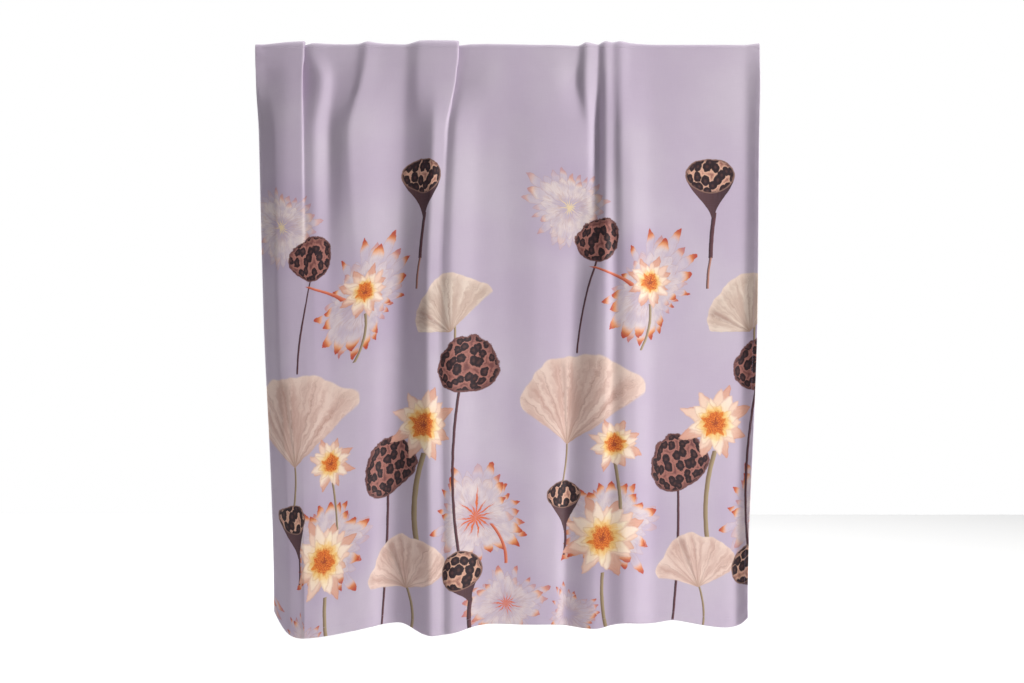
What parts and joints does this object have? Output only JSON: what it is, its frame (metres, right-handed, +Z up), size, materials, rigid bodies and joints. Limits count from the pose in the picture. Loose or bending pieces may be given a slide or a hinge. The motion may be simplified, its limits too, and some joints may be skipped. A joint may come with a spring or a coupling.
{
  "type": "shower curtain",
  "caption": "Printed polyester shower curtain hanging in folds over a rail, with its eyelet header turned to the back, sewn hems and a weighted bottom edge.",
  "frame": {"origin": "on the rail's axis, at the middle of its length: the centre of the half-round fold that lies on the rail", "axes": "+X along the rail to the right as seen from the printed front, -Y towards the viewer of the printed front, +Z up"},
  "size_m": [1.656, 0.0919, 1.9289],
  "materials": {
    "printed_cloth": "smooth fine-woven polyester, lilac ground with a lotus print, soft satin sheen",
    "cloth_back": "the unprinted side of the same cloth, paler, with the print showing faintly through",
    "woven_tape": "stiff white woven tape",
    "weight_tape": "grey weighted tape",
    "thread": "lilac spun polyester thread",
    "label_satin": "blank white satin label",
    "label_thread": "white thread",
    "eyelet_metal": "polished nickel-plated brass, lightly worn"
  },
  "bodies": {
    "panel": {"bottom_hem": "cloth_back", "bottom_seam": "thread", "care_label": "label_satin", "front_panel": "printed_cloth", "header_fold": "printed_cloth", "label_seam": "label_thread", "left_bottom_bartack": "thread", "left_side_hem": "cloth_back", "left_side_seam": "thread", "left_top_bartack": "thread", "right_bottom_bartack": "thread", "right_side_hem": "cloth_back", "right_side_seam": "thread", "right_top_bartack": "thread", "weight_tape": "weight_tape"},
    "header": {"eyelet_01_grommet": "eyelet_metal", "eyelet_01_washer": "eyelet_metal", "eyelet_02_grommet": "eyelet_metal", "eyelet_02_washer": "eyelet_metal", "eyelet_03_grommet": "eyelet_metal", "eyelet_03_washer": "eyelet_metal", "eyelet_04_grommet": "eyelet_metal", "eyelet_04_washer": "eyelet_metal", "eyelet_05_grommet": "eyelet_metal", "eyelet_05_washer": "eyelet_metal", "eyelet_06_grommet": "eyelet_metal", "eyelet_06_washer": "eyelet_metal", "eyelet_07_grommet": "eyelet_metal", "eyelet_07_washer": "eyelet_metal", "eyelet_08_grommet": "eyelet_metal", "eyelet_08_washer": "eyelet_metal", "eyelet_09_grommet": "eyelet_metal", "eyelet_09_washer": "eyelet_metal", "eyelet_10_grommet": "eyelet_metal", "eyelet_10_washer": "eyelet_metal", "eyelet_11_grommet": "eyelet_metal", "eyelet_11_washer": "eyelet_metal", "eyelet_12_grommet": "eyelet_metal", "eyelet_12_washer": "eyelet_metal", "header_flap": "printed_cloth", "header_hem": "cloth_back", "header_seam": "thread", "header_tape": "woven_tape"}
  },
  "joints": [
    {"name": "header_turn", "type": "hinge", "parent": "panel", "child": "header", "pos_m": [0, 0, 0], "axis": [1, 0, 0], "range_deg": [0, 180], "deforming": ["header_fold"]}
  ]
}
